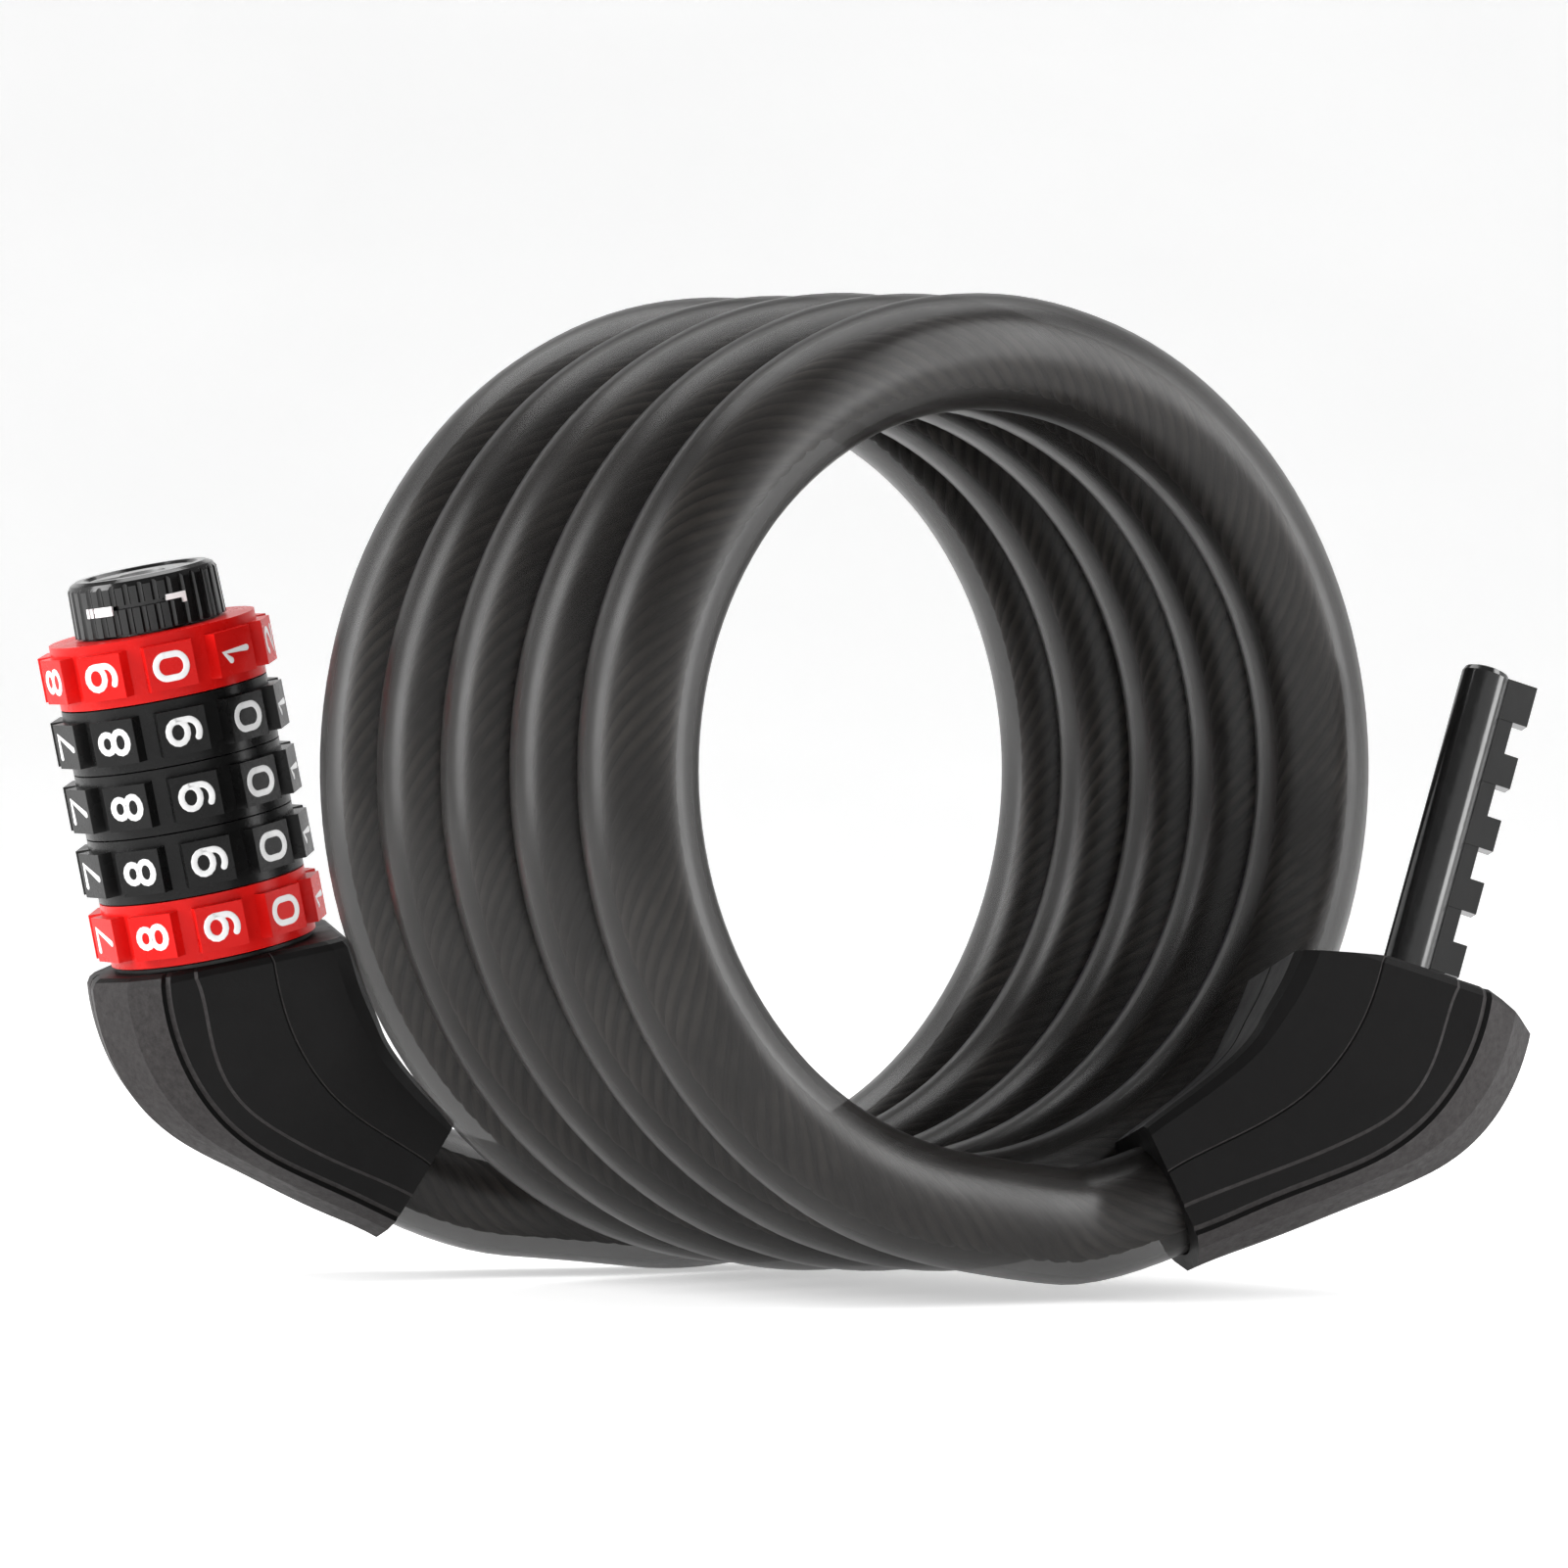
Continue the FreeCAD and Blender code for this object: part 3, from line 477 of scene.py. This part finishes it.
def strand_mesh(points, lobes, reach, dip, lay_length, around):
    """A twisted bundle: a lobed section that turns as it follows the line."""
    mesh = bpy.data.meshes.new("strand")
    maker = bmesh.new()
    crown = maker.verts.layers.float.new("crown")
    ahead = (points[1] - points[0]).normalized()
    across = ahead.orthogonal().normalized()
    travelled, rings = 0.0, []
    for index, point in enumerate(points):
        following = points[min(index + 1, len(points) - 1)]
        before = points[max(index - 1, 0)]
        direction = (following - before).normalized()
        across = (across - direction * across.dot(direction)).normalized()
        up = direction.cross(across)
        if index:
            travelled += (point - points[index - 1]).length
        twist = 2 * math.pi * travelled / lay_length
        ring = []
        for corner in range(around):
            angle = 2 * math.pi * corner / around
            bulge = abs(math.cos(lobes * angle / 2))
            radius = reach - dip * (1 - bulge) ** FLANK_POWER
            turned = angle + twist
            outward = across * math.cos(turned) + up * math.sin(turned)
            corner_vertex = maker.verts.new(point + outward * radius)
            # crown is 1 on a wire's crown and 0 in a valley; the strand's material places its painted
            # highlight and painted shade by it.
            corner_vertex[crown] = bulge ** CROWN_POWER
            ring.append(corner_vertex)
        rings.append(ring)
    for ring, following in zip(rings, rings[1:]):
        for corner in range(around):
            beside = (corner + 1) % around
            maker.faces.new((ring[corner], ring[beside], following[beside], following[corner]))
    maker.faces.new(list(reversed(rings[0])))
    maker.faces.new(rings[-1])
    maker.to_mesh(mesh)
    maker.free()
    return mesh


def make_cable():
    """The clear sheath and the strand in it; its exit is the middle of the dial elbow's mouth."""
    route = cable_route()
    sheath = bpy.data.objects.new("cable_sheath", spline_curve("cable_sheath", route, CABLE_RADIUS * MM))
    bpy.context.collection.objects.link(sheath)
    sheath.data.materials.append(MATERIALS["cable_sheath"])
    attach(sheath, "root")
    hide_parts("cable_coil", "cable_tail_dial", "cable_tail_bolt")
    line = even_points(route_points(route), STRAND_STEP)
    bundle = strand_mesh(line, STRAND_WIRES, STRAND_RADIUS, STRAND_DIP, STRAND_LAY, STRAND_CORNERS)
    strand = piece("cable_strand", bundle, "root", STRAND)


make_cable()


# ---------------------------------------------------------------- numerals
DIALS = 5
DIGITS = 10
# Degrees from one pad to the next, and the pad with each dial's first numeral, from the cable's side.
PAD_STEP = 36.0
FIRST_PAD = -125.0
FIRST_DIGIT = {1: 9, 2: 8, 3: 8, 4: 8, 5: 8}
# Millimetres from the head's axis to a pad's flat, and from one dial to the next.
PAD_FLAT = 12.25
DIAL_PITCH = 7.0
# The head's own frame has its middle in this dial.
MIDDLE_DIAL = 3
# Millimetres for one unit of a numeral's strokes, and how much of that it keeps from foot to top.
DIGIT_SCALE = 4.0
DIGIT_SQUAT = 0.81
# The stroke's half width, and how far it stands off the pad.
STROKE = 0.35
DIGIT_RISE = 0.05


def arc(centre_x, centre_y, wide, tall, start, end, steps=14):
    """Points along an ellipse, angles in degrees."""
    points = []
    for step in range(steps + 1):
        angle = math.radians(start + (end - start) * step / steps)
        points.append((centre_x + wide * math.cos(angle), centre_y + tall * math.sin(angle)))
    return points


def digit_strokes(digit):
    """The strokes of a plain round-ended numeral in a box one unit tall."""
    if digit == 0:
        return [arc(0, 0.17, 0.31, 0.33, 0, 180) + arc(0, -0.17, 0.31, 0.33, 180, 360) + [(0.31, 0.17)]]
    if digit == 1:
        return [[(-0.20, 0.24), (0.03, 0.5), (0.03, -0.5)]]
    if digit == 2:
        return [arc(0, 0.19, 0.29, 0.31, 165, -42) + [(-0.30, -0.5), (0.31, -0.5)]]
    if digit == 3:
        return [arc(0, 0.25, 0.25, 0.25, 150, -90), arc(0, -0.22, 0.29, 0.28, 90, -150)]
    if digit == 4:
        return [[(0.13, -0.5), (0.13, 0.5), (-0.33, -0.2), (0.32, -0.2)]]
    if digit == 5:
        return [[(0.26, 0.5), (-0.20, 0.5), (-0.25, 0.05)] + arc(0, -0.19, 0.30, 0.31, 128, -150)]
    if digit == 6:
        return [arc(0, -0.19, 0.30, 0.31, 0, 360),
                [(-0.30, -0.19), (-0.30, 0.10)] + arc(0.02, 0.17, 0.32, 0.33, 180, 55)]
    if digit == 7:
        return [[(-0.29, 0.5), (0.29, 0.5), (-0.07, -0.5)]]
    if digit == 8:
        return [arc(0, 0.255, 0.245, 0.245, 0, 360), arc(0, -0.235, 0.285, 0.265, 0, 360)]
    return [arc(0, 0.19, 0.30, 0.31, 0, 360),
            [(0.30, 0.19), (0.30, -0.10)] + arc(-0.02, -0.17, 0.32, 0.33, 0, -125)]


def stroke_mesh(digit):
    """The numeral as a low raised mesh in its own plane, millimetres."""
    data = bpy.data.curves.new("stroke", "CURVE")
    data.dimensions = "3D"
    data.bevel_depth = STROKE
    data.bevel_resolution = 3
    data.use_fill_caps = True
    for stroke in digit_strokes(digit):
        spline = data.splines.new("POLY")
        spline.points.add(len(stroke) - 1)
        for control, (x, y) in zip(spline.points, stroke):
            control.co = (x * DIGIT_SCALE, y * DIGIT_SCALE * DIGIT_SQUAT, 0, 1)
    thing = bpy.data.objects.new("stroke", data)
    bpy.context.collection.objects.link(thing)
    mesh = bpy.data.meshes.new_from_object(thing)
    bpy.data.objects.remove(thing)
    maker = bmesh.new()
    maker.from_mesh(mesh)
    for stroke in digit_strokes(digit):
        for x, y in (stroke[0], stroke[-1]):
            spot = Matrix.Translation((x * DIGIT_SCALE, y * DIGIT_SCALE * DIGIT_SQUAT, 0))
            bmesh.ops.create_uvsphere(maker, u_segments=16, v_segments=8, radius=STROKE, matrix=spot)
    for vertex in maker.verts:
        vertex.co.z *= DIGIT_RISE / STROKE
    maker.to_mesh(mesh)
    maker.free()
    return mesh


def make_numerals():
    """Ten numerals on each dial, tops towards falling angle, reading up the head's axis."""
    flats = {digit: stroke_mesh(digit) for digit in range(DIGITS)}
    for dial in range(1, DIALS + 1):
        maker = bmesh.new()
        height = DIAL_PITCH * (MIDDLE_DIAL - dial)
        for pad in range(DIGITS):
            angle = math.radians(FIRST_PAD + PAD_STEP * pad)
            outward = Vector((math.cos(angle), math.sin(angle), 0))
            onward = Vector((-math.sin(angle), math.cos(angle), 0))
            along = Vector((0, 0, 1))
            basis = Matrix((along, -onward, outward)).transposed().to_4x4()
            spot = Matrix.Translation(outward * PAD_FLAT + along * height)
            start = len(maker.verts)
            maker.from_mesh(flats[(FIRST_DIGIT[dial] + pad) % DIGITS])
            maker.verts.ensure_lookup_table()
            for vertex in maker.verts[start:]:
                vertex.co = spot @ basis @ vertex.co
        for vertex in maker.verts:
            vertex.co = DIAL_HEAD @ (vertex.co * MM)
        mesh = bpy.data.meshes.new(f"numerals_{dial}")
        maker.to_mesh(mesh)
        maker.free()
        piece(f"numerals_{dial}", mesh, f"dial_ring_{dial}", NUMERAL)


make_numerals()


# ---------------------------------------------------------------- knob marks
# Millimetres: the radius of the knob's side there, and how far a mark stands off it and goes into it.
KNOB_SKIN = 8.17
MARK_PROUD = 0.06
MARK_ROOT = 0.3
# About how many degrees of the knob's side one facet of a mark spans.
MARK_FACET = 3
# The corners of each face of a facet's box.
BOX_FACES = ((0, 1, 3, 2), (4, 6, 7, 5), (0, 2, 6, 4), (1, 5, 7, 3), (0, 4, 5, 1), (2, 3, 7, 6))
# Corners closer than this, in metres, are one.
MERGE_GAP = 1e-7
# Each mark's first and last angle on the knob, and its lowest and highest place on the axis.
KNOB_MARKS = [(-146.0, -143.6, 19.95, 20.95), (-141.8, -139.4, 19.95, 20.95), (-137.6, -122.0, 19.95, 20.95),
              (-80.0, -64.0, 20.55, 21.15), (-67.0, -64.0, 20.0, 20.55)]


def make_knob_marks():
    """White index blocks on the knob's side, plain shapes and no lettering."""
    maker = bmesh.new()
    for first, last, low, high in KNOB_MARKS:
        steps = max(1, round((last - first) / MARK_FACET))
        for step in range(steps):
            corners = []
            for radius in (KNOB_SKIN - MARK_ROOT, KNOB_SKIN + MARK_PROUD):
                for share in (step / steps, (step + 1) / steps):
                    angle = math.radians(first + (last - first) * share)
                    for height in (low, high):
                        spot = Vector((radius * math.cos(angle), radius * math.sin(angle), height)) * MM
                        corners.append(maker.verts.new(DIAL_HEAD @ spot))
            for face in BOX_FACES:
                maker.faces.new([corners[corner] for corner in face])
    bmesh.ops.remove_doubles(maker, verts=maker.verts, dist=MERGE_GAP)
    bmesh.ops.recalc_face_normals(maker, faces=maker.faces)
    mesh = bpy.data.meshes.new("knob_marks")
    maker.to_mesh(mesh)
    maker.free()
    piece("knob_marks", mesh, "knob", NUMERAL, smooth=False)


make_knob_marks()


# ---------------------------------------------------------------- floor and light
def floor_material():
    """Pale matt paper with a glow of its own, so that it stays even and bright."""
    shader = Shader("studio_floor", Specular_IOR_Level=0.1,
                    Emission_Color=(1, 1, 1, 1), Emission_Strength=0.44)
    shader.drive("Base Color", shader.ramp(shader.noise(6, 2), 0.86, 0.90))
    shader.drive("Roughness", shader.ramp(shader.noise(20, 2), 0.75, 0.85))
    return shader.material


# Metres: the radius of the floor's centre disc, of its flat part, and of the curve that rises from that.
HUB_REACH = 0.02
FLAT_REACH = 1.1
SWEEP = 1.5
SWEEP_STEPS = 16
ROUND_STEPS = 96


def make_stage(ground):
    """A pale bowl: a flat floor under the lock that sweeps up all round it."""
    profile = [(HUB_REACH, ground)]
    for step in range(SWEEP_STEPS + 1):
        angle = math.pi / 2 * step / SWEEP_STEPS
        profile.append((FLAT_REACH + math.sin(angle) * SWEEP, ground + SWEEP * (1 - math.cos(angle))))
    maker = bmesh.new()
    rings = []
    turns = [2 * math.pi * step / ROUND_STEPS for step in range(ROUND_STEPS)]
    for reach, height in profile:
        rings.append([maker.verts.new((reach * math.cos(turn), reach * math.sin(turn), height))
                      for turn in turns])
    maker.faces.new(rings[0])
    for ring, outer in zip(rings, rings[1:]):
        for step in range(ROUND_STEPS):
            beside = (step + 1) % ROUND_STEPS
            maker.faces.new((ring[step], outer[step], outer[beside], ring[beside]))
    mesh = bpy.data.meshes.new("floor")
    maker.to_mesh(mesh)
    maker.free()
    floor = bpy.data.objects.new("floor", mesh)
    bpy.context.collection.objects.link(floor)
    mesh.polygons.foreach_set("use_smooth", [True] * len(mesh.polygons))
    mesh.materials.append(floor_material())
    floor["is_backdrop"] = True


def area_light(name, azimuth, elevation, distance, size, power):
    """A soft box aimed at the lock; azimuth 0 is behind the camera, positive to its right."""
    turn = -VIEW_TURN + math.radians(azimuth)
    rise = math.radians(elevation)
    back = Vector((math.sin(turn) * math.cos(rise), -math.cos(turn) * math.cos(rise), math.sin(rise)))
    data = bpy.data.lights.new(name, "AREA")
    data.shape = "RECTANGLE"
    data.size, data.size_y = size
    data.energy = power
    light = bpy.data.objects.new(name, data)
    bpy.context.collection.objects.link(light)
    light.location = back * distance
    light.rotation_euler = back.to_track_quat("Z", "Y").to_euler()


def make_lights():
    """Soft boxes at both sides and one high behind, with a faint even light from all round."""
    area_light("left", azimuth=-78, elevation=22, distance=0.75, size=(0.3, 0.8), power=6.6)
    area_light("right", azimuth=82, elevation=20, distance=0.75, size=(0.3, 0.8), power=6.0)
    area_light("top", azimuth=175, elevation=72, distance=0.9, size=(0.9, 0.6), power=5.6)
    world = bpy.data.worlds.new("studio")
    bpy.context.scene.world = world
    world.use_nodes = True
    background = world.node_tree.nodes["Background"]
    background.inputs["Color"].default_value = (1, 1, 1, 1)
    background.inputs["Strength"].default_value = 0.25


# The floor touches the lowest point of the whole object.
make_stage(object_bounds()[0][2])
make_lights()
bpy.context.scene.view_settings.view_transform = "Standard"
